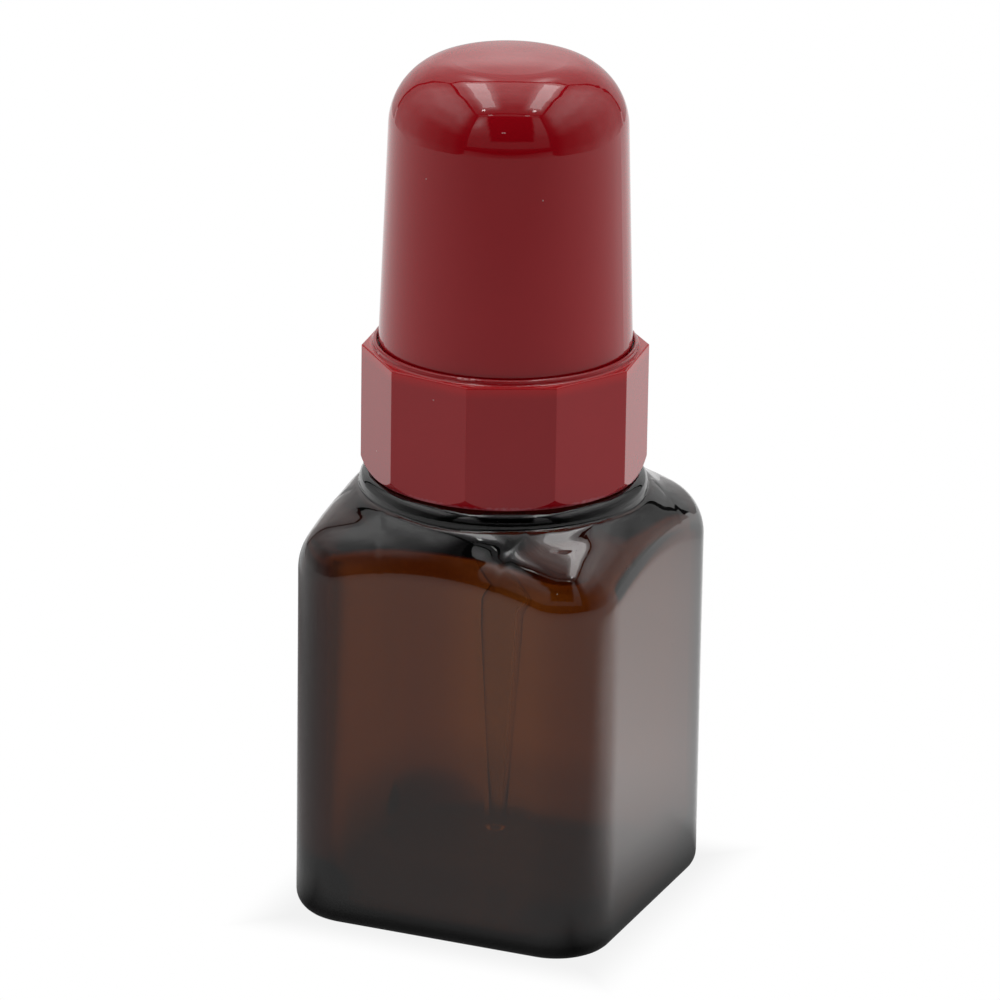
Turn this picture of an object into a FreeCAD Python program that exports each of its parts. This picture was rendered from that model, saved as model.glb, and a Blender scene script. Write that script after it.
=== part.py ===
"""Square glass ink bottle with a screw-on dropper and a tall overcap.

The bottle stands on z = 0 with its axis on +Z and its flat sides square to X and Y. Lengths are
millimetres and angles are degrees. Every driving dimension is a cell of the Sizes spreadsheet.
"""
import FreeCAD, Part
import math
import os

import Sketcher

DIMENSIONS = {
    # glass body
    "body_width": 42.0,
    "corner_radius": 7.7,
    "dome_radius": 50.7,          # the shoulder is part of a ball this large
    "dome_height": 56.7,          # where that ball crosses the axis
    "shoulder_fillet": 7.2,
    "base_fillet": 2.6,
    "glass_wall": 2.2,
    "glass_floor": 3.0,
    "cavity_corner_radius": 8.0,
    "cavity_shoulder_fillet": 3.0,
    "cavity_base_fillet": 3.2,
    "dish_radius": 13.0,          # the shallow hollow under the base
    "dish_depth": 0.8,
    # neck
    "bead_radius": 17.85,         # widest just above the shoulder
    "bead_widest_height": 53.95,
    "bead_upper_radius": 17.3,
    "bead_upper_height": 55.45,
    "bead_top_height": 55.9,
    "bead_bulge_radius": 4.0,
    "bead_edge_curve": 0.5,
    "bead_foot_fillet": 0.3,
    "neck_radius": 12.5,
    "neck_root_fillet": 1.2,
    "mouth_height": 67.5,
    "mouth_edge_fillet": 0.7,
    "bore_radius": 9.0,
    "bore_flare": 3.8,
    # screw thread
    "thread_pitch": 4.2,
    "thread_turns": 1.25,
    "thread_base_height": 59.4,   # the middle of the glass thread where it starts
    "thread_seat": 0.4,           # how far the collar's ridge is drawn up towards the glass one
    "ridge_half_root": 1.3,
    "ridge_half_crest": 0.6,
    "ridge_flank": 0.9,
    "ridge_crest_curve": 0.75,
    "ridge_sink": 0.3,            # how far each ridge is rooted in its wall
    # screw collar
    "collar_sides": 10,
    "collar_corner_radius": 17.66,
    "collar_flat_azimuth": 7.3,
    "collar_base_height": 56.1,
    "collar_top_height": 71.9,
    "collar_edge_fillet": 0.2,
    "collar_foot_radius": 16.7,
    "collar_foot_height": 1.4,
    "collar_foot_curve": 4.0,
    "collar_bore_radius": 14.1,
    "collar_mouth_chamfer": 0.5,
    "plate_base_height": 69.7,
    "plate_top_height": 71.0,
    "plate_hole_radius": 6.3,
    "lip_top_height": 72.65,
    "lip_width": 0.58,
    "lip_cove": 0.4,
    "recess_radius": 15.72,
    "cut_margin": 1.0,            # how far a cut runs on past the surface that it starts from
    "spigot_radius": 14.0,
    "spigot_inner_radius": 12.3,
    "spigot_top_height": 77.5,
    "spigot_fillet": 0.5,
    # overcap
    "overcap_foot_radius": 15.6,
    "overcap_foot_height": 1.75,
    "overcap_rim_radius": 15.0,
    "overcap_crown_radius": 14.43,
    "overcap_crown_ball": 50.0,
    "overcap_top_height": 108.9,
    "overcap_crown_fillet": 8.65,
    "overcap_wall": 1.7,
    "overcap_stop_height": 78.0,
    "slip_clearance": 0.05,
    # rubber bulb
    "bulb_flange_radius": 12.2,
    "bulb_bead_radius": 8.6,
    "bulb_bead_height": 1.4,
    "bulb_waist_radius": 7.3,
    "bulb_waist_height": 75.2,
    "bulb_shoulder_height": 79.5,
    "bulb_radius": 9.6,
    "bulb_top_height": 101.0,
    "bulb_wall": 1.9,
    "bulb_socket_top_height": 76.5,
    "bulb_edge_fillet": 0.5,
    # pipette
    "pipette_tip_height": 8.2,
    "pipette_tip_radius": 1.25,
    "pipette_tip_bore_radius": 0.6,
    "pipette_taper_height": 35.0,
    "pipette_radius": 3.0,
    "pipette_bore_radius": 2.05,
    "pipette_top_height": 78.5,
    "pipette_end_fillet": 0.25,
}

OUTPUT_FOLDER = "parts"
FULL_TURN = 360.0
PART_NAMES = ("bottle", "screw_collar", "overcap", "rubber_bulb", "pipette")


class Size:
    """A number together with the spreadsheet expression that gives it."""

    def __init__(self, value, text):
        self.value = value
        self.text = text

    def _joined(self, sign, other, value):
        return Size(value, f"({self.text} {sign} {other.text})")

    def __add__(self, other):
        other = as_size(other)
        return self._joined("+", other, self.value + other.value)

    def __sub__(self, other):
        other = as_size(other)
        return self._joined("-", other, self.value - other.value)

    def __mul__(self, other):
        other = as_size(other)
        return self._joined("*", other, self.value * other.value)

    def __truediv__(self, other):
        other = as_size(other)
        return self._joined("/", other, self.value / other.value)

    def __neg__(self):
        return as_size(0.0) - self

    def root(self):
        return Size(math.sqrt(self.value), f"sqrt({self.text})")


def as_size(number):
    """Wrap a plain number, so that it mixes with sizes from the sheet."""
    if isinstance(number, Size):
        return number
    return Size(float(number), f"{number:g}")


class Sizes:
    """The driving dimensions, each read as an attribute such as sizes.body_width."""

    def __init__(self, doc):
        self.sheet = doc.addObject("Spreadsheet::Sheet", "Sizes")
        for row, (alias, value) in enumerate(DIMENSIONS.items(), start=1):
            self.sheet.set(f"A{row}", alias)
            self.sheet.set(f"B{row}", str(value))
            self.sheet.setAlias(f"B{row}", alias)
            setattr(self, alias, Size(float(value), f"Sizes.{alias}"))


def origin_item(body, role):
    """One of the body's own origin planes or axes, such as XY_Plane."""
    return next(item for item in body.Origin.OriginFeatures if item.Role == role)


def new_sketch(body, name, role):
    sketch = body.newObject("Sketcher::SketchObject", name)
    sketch.AttachmentSupport = (origin_item(body, role), [""])
    sketch.MapMode = "FlatFace"
    return sketch


def arc_between(start, end, bend):
    """The arc of radius |bend| from start to end, anticlockwise when bend is positive."""
    half_chord = (end - start) / 2
    radius = abs(bend)
    rise = math.sqrt(max(radius ** 2 - half_chord.Length ** 2, 0.0))
    left = FreeCAD.Vector(-half_chord.y, half_chord.x, 0).normalize()
    centre = start + half_chord + left * math.copysign(rise, bend)
    first, last = (start, end) if bend > 0 else (end, start)
    angles = [math.atan2(point.y - centre.y, point.x - centre.x) for point in (first, last)]
    return Part.ArcOfCircle(Part.Circle(centre, FreeCAD.Vector(0, 0, 1), radius), *angles)


def draw_outline(sketch, corners):
    """Draw a closed outline whose corners and arcs are bound to the sheet.

    A corner is (x, y), with a straight edge to the next corner, or (x, y, bend), with an arc of
    that radius to the next corner: positive bends run anticlockwise round their centre.
    """
    points = [FreeCAD.Vector(as_size(c[0]).value, as_size(c[1]).value, 0) for c in corners]
    ends = []
    for index, corner in enumerate(corners):
        start, end = points[index], points[(index + 1) % len(points)]
        if len(corner) == 2:
            edge = sketch.addGeometry(Part.LineSegment(start, end), False)
            ends.append((edge, 1, 2))
            continue
        bend = corner[2]
        edge = sketch.addGeometry(arc_between(start, end, bend.value), False)
        ends.append((edge, 1, 2) if bend.value > 0 else (edge, 2, 1))
        radius = bend if bend.value > 0 else -bend
        bind(sketch, Sketcher.Constraint("Radius", edge, radius.value), f"edge{index}_bend", radius)
    for index, (edge, start_point, end_point) in enumerate(ends):
        next_edge, next_start, _ = ends[(index + 1) % len(ends)]
        sketch.addConstraint(Sketcher.Constraint("Coincident", edge, end_point, next_edge, next_start))
        for axis, size in zip(("DistanceX", "DistanceY"), corners[index][:2]):
            size = as_size(size)
            rule = Sketcher.Constraint(axis, -1, 1, edge, start_point, size.value)
            bind(sketch, rule, f"corner{index}_{axis}", size)


def bind(sketch, constraint, name, size):
    """Add a named constraint whose value follows the sheet."""
    index = sketch.addConstraint(constraint)
    sketch.renameConstraint(index, name)
    sketch.setExpression(f"Constraints.{name}", size.text)


def pad(body, name, sketch, length):
    feature = body.newObject("PartDesign::Pad", name)
    feature.Profile = sketch
    feature.setExpression("Length", length.text)
    return feature


def turn(body, name, corners, kind="PartDesign::Revolution"):
    """Revolve an outline of (radius, height) corners about the bottle's axis."""
    sketch = new_sketch(body, f"{name}_outline", "XZ_Plane")
    draw_outline(sketch, corners)
    feature = body.newObject(kind, name)
    feature.Profile = sketch
    feature.ReferenceAxis = (sketch, ["V_Axis"])
    feature.Angle = FULL_TURN
    body.Document.recompute()
    return feature


def cut_round(body, name, corners):
    """Cut an outline of (radius, height) corners away all round, and check that it removed something."""
    before = body.Shape.Volume
    feature = turn(body, name, corners, "PartDesign::Groove")
    if not feature.Shape.Volume < before:
        raise RuntimeError(f"{name} cuts nothing")
    return feature


def fillet_edges(body, name, chosen, radius):
    """Round every edge of the body's latest shape that chosen(edge) accepts."""
    base = body.Tip
    names = [f"Edge{i}" for i, edge in enumerate(base.Shape.Edges, start=1) if chosen(edge)]
    if not names:
        raise RuntimeError(f"{name} has no edges")
    feature = body.newObject("PartDesign::Fillet", name)
    feature.Base = (base, names)
    feature.setExpression("Radius", radius.text)
    body.Document.recompute()
    return feature


def add_thread(body, name, wall, outwards, middle, sizes):
    """Sweep a round-topped ridge up the right-hand thread helix and join it to a wall's surface.

    outwards is 1 for a ridge on the outside of the wall and -1 for one on the inside.
    """
    sketch = new_sketch(body, f"{name}_section", "XZ_Plane")
    inside_wall = wall - sizes.ridge_sink * outwards
    shoulder = wall + sizes.ridge_flank * outwards
    root, crest = sizes.ridge_half_root * outwards, sizes.ridge_half_crest * outwards
    draw_outline(sketch, [
        (inside_wall, middle - root), (wall, middle - root),
        (shoulder, middle - crest, sizes.ridge_crest_curve), (shoulder, middle + crest),
        (wall, middle + root), (inside_wall, middle + root),
    ])
    feature = body.newObject("PartDesign::AdditiveHelix", name)
    feature.Profile = sketch
    feature.ReferenceAxis = (sketch, ["V_Axis"])
    feature.Mode = "pitch-turns-angle"
    feature.setExpression("Pitch", sizes.thread_pitch.text)
    feature.setExpression("Turns", sizes.thread_turns.text)
    feature.Angle = 0.0
    body.Document.recompute()
    return feature


def tuck_curve(inset, height):
    """The radius of an arc that leaves an upright wall and comes in by inset over height."""
    return (inset * inset + height * height) / (inset * 2)


def edge_heights(edge):
    return edge.BoundBox.ZMin, edge.BoundBox.ZMax


def is_level_at(edge, height, tolerance=1e-4):
    low, high = edge_heights(edge)
    return abs(low - height) < tolerance and abs(high - height) < tolerance


def edge_reach(edge):
    """The distance from the axis to the middle of an edge."""
    middle = edge.valueAt((edge.FirstParameter + edge.LastParameter) / 2)
    return math.hypot(middle.x, middle.y)


def square_under_dome(doc, name, sizes, inset, floor, corner, shoulder, base):
    """A rounded square column under a ball-shaped top, with its shoulder and base edges rounded."""
    body = doc.addObject("PartDesign::Body", name)
    half = sizes.body_width / 2 - inset
    ball = sizes.dome_radius - inset
    centre = sizes.dome_height - sizes.dome_radius
    flat = half - corner
    sketch = new_sketch(body, f"{name}_plan", "XY_Plane")
    sketch.AttachmentOffset = FreeCAD.Placement(FreeCAD.Vector(0, 0, floor.value), FreeCAD.Rotation())
    sketch.setExpression("AttachmentOffset.Base.z", floor.text)
    draw_outline(sketch, [
        (half, -flat), (half, flat, corner), (flat, half), (-flat, half, corner),
        (-half, flat), (-half, -flat, corner), (-flat, -half), (flat, -half, corner),
    ])
    pad(body, f"{name}_column", sketch, sizes.dome_height - floor)
    doc.recompute()
    reach = half * math.sqrt(2)
    above = sizes.dome_height + sizes.glass_wall
    cut_round(body, f"{name}_dome", [
        (0, centre + ball, -ball), (reach, centre + (ball * ball - reach * reach).root()),
        (reach, above), (0, above),
    ])
    middle = sizes.dome_height.value / 2
    fillet_edges(body, f"{name}_shoulder", lambda edge: edge_heights(edge)[0] > middle, shoulder)
    fillet_edges(body, f"{name}_base", lambda edge: is_level_at(edge, floor.value), base)
    return body


def glass_outside(doc, sizes):
    """The bottle's outer shape: body, neck bead, neck and thread."""
    body = square_under_dome(
        doc, "bottle_outside", sizes, as_size(0.0), as_size(0.0),
        sizes.corner_radius, sizes.shoulder_fillet, sizes.base_fillet)
    dish_ball = (sizes.dish_radius * sizes.dish_radius / sizes.dish_depth + sizes.dish_depth) / 2
    cut_round(body, "base_dish", [
        (0, -sizes.dish_depth), (sizes.dish_radius, -sizes.dish_depth), (sizes.dish_radius, 0, dish_ball),
        (0, sizes.dish_depth),
    ])
    root = sizes.neck_root_fillet
    edge = sizes.mouth_edge_fillet
    bead_base = sizes.bead_widest_height - sizes.glass_wall
    bead_edge = sizes.bead_edge_curve
    turn(body, "neck", [
        (0, bead_base), (sizes.bead_radius, bead_base),
        (sizes.bead_radius, sizes.bead_widest_height, sizes.bead_bulge_radius),
        (sizes.bead_upper_radius, sizes.bead_upper_height, bead_edge),
        (sizes.bead_upper_radius - bead_edge, sizes.bead_top_height),
        (sizes.neck_radius + root, sizes.bead_top_height, -root),
        (sizes.neck_radius, sizes.bead_top_height + root),
        (sizes.neck_radius, sizes.mouth_height - edge, edge),
        (sizes.neck_radius - edge, sizes.mouth_height),
        (0, sizes.mouth_height),
    ])
    ball, centre = sizes.dome_radius.value, sizes.dome_height.value - sizes.dome_radius.value
    bead_foot = centre + math.sqrt(ball ** 2 - sizes.bead_radius.value ** 2)
    fillet_edges(body, "bead_foot",
                 lambda edge: is_level_at(edge, bead_foot) and edge_reach(edge) < sizes.body_width.value / 2,
                 sizes.bead_foot_fillet)
    add_thread(body, "glass_thread", sizes.neck_radius, 1, sizes.thread_base_height, sizes)
    return body


def glass_cavity(doc, sizes):
    """The space inside the bottle, from the floor to above the mouth."""
    body = square_under_dome(
        doc, "bottle_cavity", sizes, sizes.glass_wall, sizes.glass_floor,
        sizes.cavity_corner_radius, sizes.cavity_shoulder_fillet, sizes.cavity_base_fillet)
    ball = sizes.dome_radius - sizes.glass_wall
    flare_reach = sizes.bore_radius + sizes.bore_flare
    flare_height = sizes.dome_height - sizes.dome_radius + (ball * ball - flare_reach * flare_reach).root()
    below = flare_height - sizes.bore_flare
    above = sizes.mouth_height + sizes.glass_wall
    edge = sizes.mouth_edge_fillet
    turn(body, "bore", [
        (0, below), (flare_reach, below), (flare_reach, flare_height, -sizes.bore_flare),
        (sizes.bore_radius, flare_height + sizes.bore_flare),
        (sizes.bore_radius, sizes.mouth_height - edge, -edge),
        (sizes.bore_radius + edge, sizes.mouth_height),
        (sizes.bore_radius + edge, above), (0, above),
    ])
    return body


def make_bottle(doc, sizes):
    bottle = doc.addObject("Part::Cut", "bottle")
    bottle.Base = glass_outside(doc, sizes)
    bottle.Tool = glass_cavity(doc, sizes)
    return bottle


def make_screw_collar(doc, sizes):
    """The ten-sided collar: threaded inside, with a spigot on top that carries the overcap."""
    body = doc.addObject("PartDesign::Body", "screw_collar")
    prism = body.newObject("PartDesign::AdditivePrism", "collar_flats")
    prism.AttachmentSupport = (origin_item(body, "XY_Plane"), [""])
    prism.MapMode = "FlatFace"
    prism.Polygon = DIMENSIONS["collar_sides"]
    prism.setExpression("Circumradius", sizes.collar_corner_radius.text)
    prism.setExpression("Height", (sizes.collar_top_height - sizes.collar_base_height).text)
    half_side = FULL_TURN / 2 / DIMENSIONS["collar_sides"]
    corner_azimuth = DIMENSIONS["collar_flat_azimuth"] + half_side
    prism.AttachmentOffset = FreeCAD.Placement(
        FreeCAD.Vector(0, 0, DIMENSIONS["collar_base_height"]),
        FreeCAD.Rotation(FreeCAD.Vector(0, 0, 1), corner_azimuth))
    doc.recompute()
    base, top = sizes.collar_base_height, sizes.collar_top_height
    corner = sizes.collar_corner_radius
    outside = corner + sizes.cut_margin
    below = base - sizes.cut_margin
    cut_round(body, "collar_foot", [
        (sizes.collar_foot_radius, base, sizes.collar_foot_curve), (corner, base + sizes.collar_foot_height),
        (outside, base + sizes.collar_foot_height), (outside, below), (sizes.collar_foot_radius, below),
    ])
    between_flat_and_corner = corner.value * (1 + math.cos(math.radians(half_side))) / 2
    half_height = (top.value - base.value) / 2

    def is_collar_ridge(edge):
        upright = edge.BoundBox.ZLength > half_height
        return is_level_at(edge, top.value) or (upright and edge_reach(edge) > between_flat_and_corner)

    fillet_edges(body, "collar_corners", is_collar_ridge, sizes.collar_edge_fillet)
    lip_half = sizes.lip_width / 2
    lip_side = sizes.recess_radius + sizes.lip_width
    cove = sizes.lip_cove
    spigot = sizes.spigot_fillet
    turn(body, "lip_and_spigot", [
        (sizes.spigot_inner_radius, sizes.plate_base_height), (lip_side + cove, sizes.plate_base_height),
        (lip_side + cove, top, -cove), (lip_side, top + cove),
        (lip_side, sizes.lip_top_height - lip_half, lip_half),
        (sizes.recess_radius + lip_half, sizes.lip_top_height),
        (sizes.spigot_inner_radius, sizes.lip_top_height),
    ])
    cut_round(body, "overcap_recess", [
        (0, sizes.plate_top_height), (sizes.recess_radius, sizes.plate_top_height),
        (sizes.recess_radius, sizes.lip_top_height - lip_half, -lip_half),
        (sizes.recess_radius + lip_half, sizes.lip_top_height),
        (sizes.recess_radius + lip_half, sizes.lip_top_height + sizes.cut_margin),
        (0, sizes.lip_top_height + sizes.cut_margin),
    ])
    turn(body, "spigot", [
        (sizes.spigot_inner_radius, sizes.plate_base_height), (sizes.spigot_radius, sizes.plate_base_height),
        (sizes.spigot_radius, sizes.spigot_top_height - spigot, spigot),
        (sizes.spigot_radius - spigot, sizes.spigot_top_height),
        (sizes.spigot_inner_radius + spigot, sizes.spigot_top_height, spigot),
        (sizes.spigot_inner_radius, sizes.spigot_top_height - spigot),
    ])
    chamfer = sizes.collar_mouth_chamfer
    cut_round(body, "collar_bore", [
        (0, below), (sizes.collar_bore_radius + chamfer, below),
        (sizes.collar_bore_radius + chamfer, base), (sizes.collar_bore_radius, base + chamfer),
        (sizes.collar_bore_radius, sizes.plate_base_height),
        (sizes.plate_hole_radius, sizes.plate_base_height),
        (sizes.plate_hole_radius, sizes.plate_top_height + sizes.cut_margin),
        (0, sizes.plate_top_height + sizes.cut_margin),
    ])
    middle = sizes.thread_base_height - sizes.thread_pitch / 2 + sizes.thread_seat
    add_thread(body, "collar_thread", sizes.collar_bore_radius, -1, middle, sizes)
    return body


def make_overcap(doc, sizes):
    """The tall thimble-shaped cap, drafted inwards towards its crown."""
    body = doc.addObject("PartDesign::Body", "overcap")
    foot = sizes.plate_top_height
    ball = sizes.overcap_crown_ball
    crown = sizes.overcap_crown_radius
    crown_edge = sizes.overcap_top_height - ball + (ball * ball - crown * crown).root()
    side_base = foot + sizes.overcap_foot_height
    tuck = tuck_curve(sizes.overcap_foot_radius - sizes.overcap_rim_radius, sizes.overcap_foot_height)
    turn(body, "overcap_outside", [
        (0, foot), (sizes.overcap_rim_radius, foot, tuck), (sizes.overcap_foot_radius, side_base),
        (crown, crown_edge, ball),
        (0, sizes.overcap_top_height),
    ])
    wall = sizes.overcap_wall
    stop = sizes.overcap_stop_height
    draft = (sizes.overcap_foot_radius - crown) / (crown_edge - side_base)
    stop_radius = sizes.overcap_foot_radius - draft * (stop - side_base) - wall
    socket = sizes.spigot_radius + sizes.slip_clearance
    inner_ball = ball - wall
    inner_crown = crown - wall
    inner_edge = sizes.overcap_top_height - ball + (inner_ball * inner_ball - inner_crown * inner_crown).root()
    cut_round(body, "overcap_inside", [
        (0, foot - sizes.cut_margin), (socket, foot - sizes.cut_margin),
        (socket, stop), (stop_radius, stop),
        (inner_crown, inner_edge, inner_ball), (0, sizes.overcap_top_height - wall),
    ])
    fillet_edges(body, "overcap_inside_crown",
                 lambda edge: is_level_at(edge, inner_edge.value) and edge.Closed,
                 sizes.overcap_crown_fillet - wall)
    fillet_edges(body, "overcap_crown",
                 lambda edge: is_level_at(edge, crown_edge.value) and edge.Closed,
                 sizes.overcap_crown_fillet)
    return body


def make_rubber_bulb(doc, sizes):
    """The teat: a flange that seals on the mouth, a groove for the collar's plate, and a domed bulb."""
    body = doc.addObject("PartDesign::Body", "rubber_bulb")
    groove = sizes.plate_hole_radius - sizes.slip_clearance
    bead_base = sizes.plate_top_height + sizes.slip_clearance
    bead_top = bead_base + sizes.bulb_bead_height
    dome_base = sizes.bulb_top_height - sizes.bulb_radius
    inside = sizes.bulb_radius - sizes.bulb_wall
    socket_top = sizes.bulb_socket_top_height
    turn(body, "bulb", [
        (sizes.pipette_radius, sizes.mouth_height), (sizes.bulb_flange_radius, sizes.mouth_height),
        (sizes.bulb_flange_radius, sizes.plate_base_height), (groove, sizes.plate_base_height),
        (groove, bead_base), (sizes.bulb_bead_radius, bead_base),
        (sizes.bulb_bead_radius, bead_top), (sizes.bulb_waist_radius, bead_top),
        (sizes.bulb_waist_radius, sizes.bulb_waist_height),
        (sizes.bulb_radius, sizes.bulb_shoulder_height),
        (sizes.bulb_radius, dome_base, sizes.bulb_radius), (0, sizes.bulb_top_height),
        (0, sizes.bulb_top_height - sizes.bulb_wall, -inside), (inside, dome_base),
        (inside, socket_top + inside - sizes.pipette_radius),
        (sizes.pipette_radius, socket_top),
    ])
    rounded_heights = [size.value for size in (bead_top, sizes.bulb_waist_height, sizes.bulb_shoulder_height)]
    fillet_edges(body, "bulb_edges",
                 lambda edge: any(is_level_at(edge, height) for height in rounded_heights),
                 sizes.bulb_edge_fillet)
    return body


def make_pipette(doc, sizes):
    """The dropper tube: straight where the bulb grips it, then drawn down to a narrow tip."""
    body = doc.addObject("PartDesign::Body", "pipette")
    tip, taper, top = sizes.pipette_tip_height, sizes.pipette_taper_height, sizes.pipette_top_height
    turn(body, "tube", [
        (sizes.pipette_tip_bore_radius, tip), (sizes.pipette_tip_radius, tip),
        (sizes.pipette_radius, taper), (sizes.pipette_radius, top),
        (sizes.pipette_bore_radius, top), (sizes.pipette_bore_radius, taper),
    ])
    fillet_edges(body, "tube_ends",
                 lambda edge: is_level_at(edge, tip.value) or is_level_at(edge, top.value),
                 sizes.pipette_end_fillet)
    return body


def check(doc, parts):
    """Stop before anything is written if an object failed or a part has no sound solid."""
    for item in doc.Objects:
        if "Invalid" in item.State or "Error" in item.State:
            raise RuntimeError(f"{item.Name} did not build: {item.State}")
    for part in parts:
        if part.Shape.isNull() or not part.Shape.isValid() or len(part.Shape.Solids) != 1:
            raise RuntimeError(f"{part.Label} is not one sound solid")


def main():
    doc = FreeCAD.newDocument("ink_bottle")
    sizes = Sizes(doc)
    doc.recompute()
    parts = [
        make_bottle(doc, sizes),
        make_screw_collar(doc, sizes),
        make_overcap(doc, sizes),
        make_rubber_bulb(doc, sizes),
        make_pipette(doc, sizes),
    ]
    doc.recompute()
    for part, name in zip(parts, PART_NAMES):
        part.Label = name
        part.Placement = FreeCAD.Placement()
    doc.recompute()
    check(doc, parts)
    os.makedirs(OUTPUT_FOLDER, exist_ok=True)
    for part in parts:
        part.Shape.exportStep(os.path.join(OUTPUT_FOLDER, f"{part.Label}.step"))
        box = part.Shape.BoundBox
        print(f"{part.Label}: {part.Shape.Volume:.1f} mm3, z {box.ZMin:.2f} to {box.ZMax:.2f}")


main()
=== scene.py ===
"""Looks for the ink bottle: materials, the blown glass body, the floor, the light tent and the camera."""

import math

import bpy
from mathutils import Euler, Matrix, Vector


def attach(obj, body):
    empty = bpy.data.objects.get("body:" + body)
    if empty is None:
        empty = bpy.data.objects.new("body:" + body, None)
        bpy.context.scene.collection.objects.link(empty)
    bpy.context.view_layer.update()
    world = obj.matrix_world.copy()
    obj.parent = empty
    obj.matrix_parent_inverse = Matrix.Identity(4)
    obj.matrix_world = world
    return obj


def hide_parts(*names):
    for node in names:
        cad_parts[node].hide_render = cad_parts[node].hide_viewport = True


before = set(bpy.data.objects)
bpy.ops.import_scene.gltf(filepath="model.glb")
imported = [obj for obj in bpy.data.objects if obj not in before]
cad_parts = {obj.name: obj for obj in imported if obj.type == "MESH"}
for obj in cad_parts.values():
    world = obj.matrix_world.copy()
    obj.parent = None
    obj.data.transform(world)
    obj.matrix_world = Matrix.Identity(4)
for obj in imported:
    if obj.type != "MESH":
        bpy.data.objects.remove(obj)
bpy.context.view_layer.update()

MM = 0.001

# Camera: direction from the object, distance and framing.
CAMERA_AZIMUTH = math.radians(22.506)
CAMERA_ELEVATION = math.radians(19.836)
CAMERA_DISTANCE = 0.9215
CAMERA_AIM_HEIGHT = 0.050
CAMERA_ROLL = math.radians(0.864)
CAMERA_LENS = 268.5
CAMERA_SHIFT = (-0.0030, 0.0118)
CAMERA_CLIP = (0.05, 20)

# Blown glass body, in millimetres. The outside and the inside are each a rounded square column
# under a ball, with the edge between them rounded by the shoulder radius.
OUTER_HALF = 21.0
OUTER_CORNER = 7.7
OUTER_SHOULDER = 7.2
OUTER_BALL = 50.7
INNER_HALF = 18.8
INNER_CORNER = 7.0
INNER_FLOOR_CORNER = 10.5
INNER_SHOULDER = 2.2
INNER_BALL = 47.7
BALL_CENTRE = 6.0
BASE_FILLET = 2.6
DISH_RADIUS = 13.0
DISH_DEPTH = 0.8
BEAD_RADIUS = 17.85
BEAD_FOOT_FILLET = 0.3
BEAD_BANK_REACH = 20.6
BEAD_BANK_RISE = 0.55
BEAD_WIDEST_HEIGHT = 54.2
BEAD_TOP_RADIUS = 16.55
BEAD_TOP_HEIGHT = 55.9
NECK_RADIUS = 12.5
NECK_ROOT_FILLET = 1.2
MOUTH_HEIGHT = 67.5
MOUTH_FILLET = 0.7
NECK_FOOT = BEAD_TOP_HEIGHT + NECK_ROOT_FILLET
NECK_TOP = MOUTH_HEIGHT - MOUTH_FILLET
BORE_RADIUS = 9.0
BORE_FLARE = 3.8
FLOOR_HEIGHT = 2.3
FLOOR_RISE = 1.2
FLOOR_FILLET = 1.2
FLOOR_CURVE_HEIGHT = 5.0
THREAD_START_HEIGHT = 59.4
THREAD_PITCH = 4.2
THREAD_TURNS = 1.25
THREAD_HALF_ROOT = 1.3
THREAD_HALF_CREST = 0.6
THREAD_DEPTH = 0.9
THREAD_FADE_TURNS = 0.06

# The mesh of the bottle: columns round it and rings along each stretch of its profile. The dome gets
# rings of its own only where it is longer than SHORTEST_DOME, in millimetres.
FLAT_COLUMNS = 36
CORNER_COLUMNS = 20
DISH_RINGS = 8
BAND_RINGS = 3
BASE_EDGE_RINGS = 8
WALL_RINGS = 36
SHOULDER_RINGS = 14
DOME_RINGS = 6
BEAD_FOOT_RINGS = 4
BEAD_RINGS = 10
NECK_ROOT_RINGS = 5
NECK_RINGS = 30
MOUTH_RINGS = 5
BORE_RINGS = 4
FLARE_RINGS = 8
INNER_DOME_RINGS = 8
INNER_SHOULDER_RINGS = 10
FLOOR_EDGE_RINGS = 12
FLOOR_RINGS = 8
SEARCH_HALVINGS = 30
SHORTEST_DOME = 0.3

# Finishes. Colours are linear RGB, and noise and dust scales are per metre. Each roughness and each
# rise or fade is a step, (start, end, value at the start, value at the end), over the noise's value
# or over the height in metres.
GLASS_IOR = 1.52
GLASS_TINT = (0.62, 0.40, 0.05, 1)
GLASS_TINT_DENSITY = 1400.0
GLASS_STREAK_SCALE = 60.0
GLASS_STREAK_COLOURS = ((0.95, 0.94, 0.92, 1), (1.0, 1.0, 1.0, 1))
THICK_SHOULDER_COLOUR = (0.66, 0.52, 0.38, 1)
THICK_SHOULDER_RISE = (0.0465, 0.0490, 0.0, 1.0)
THICK_SHOULDER_FADE = (0.0510, 0.0535, 1.0, 0.15)
THICK_BASE_COLOUR = (0.72, 0.68, 0.62, 1)
THICK_BASE_FADE = (0.007, 0.014, 1.0, 0.0)
RED_CLOUD_SCALE = 140.0
RED_CLOUD_COLOURS = ((0.385, 0.0020, 0.0080, 1), (0.425, 0.0034, 0.0100, 1))
RED_POLISH_SCALE = 420.0
RED_ROUGHNESS = (0.35, 0.7, 0.022, 0.045)
RED_IOR = 1.5
RED_RIPPLE_SCALE = 55.0
RED_RIPPLE = {"Strength": 0.02, "Distance": 0.002}
RUBBER_GRAIN_SCALE = 900.0
RUBBER_COLOURS = ((0.010, 0.010, 0.011, 1), (0.018, 0.017, 0.018, 1))
RUBBER_ROUGHNESS = (0.3, 0.7, 0.45, 0.62)
RUBBER_BUMP = {"Strength": 0.1, "Distance": 0.0002}
PIPETTE_IOR = 1.08
PIPETTE_DRAW_SCALE = 90.0
PIPETTE_COLOURS = ((0.90, 0.95, 0.93, 1), (0.97, 0.99, 0.98, 1))
PIPETTE_ROUGHNESS = (0.4, 0.7, 0.0, 0.015)
DUST_COLOUR = (0.75, 0.72, 0.70, 1)
GLASS_DUST = {"scale": 260.0, "radius": 0.035, "rarity": 0.86, "strength": 0.55}
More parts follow.
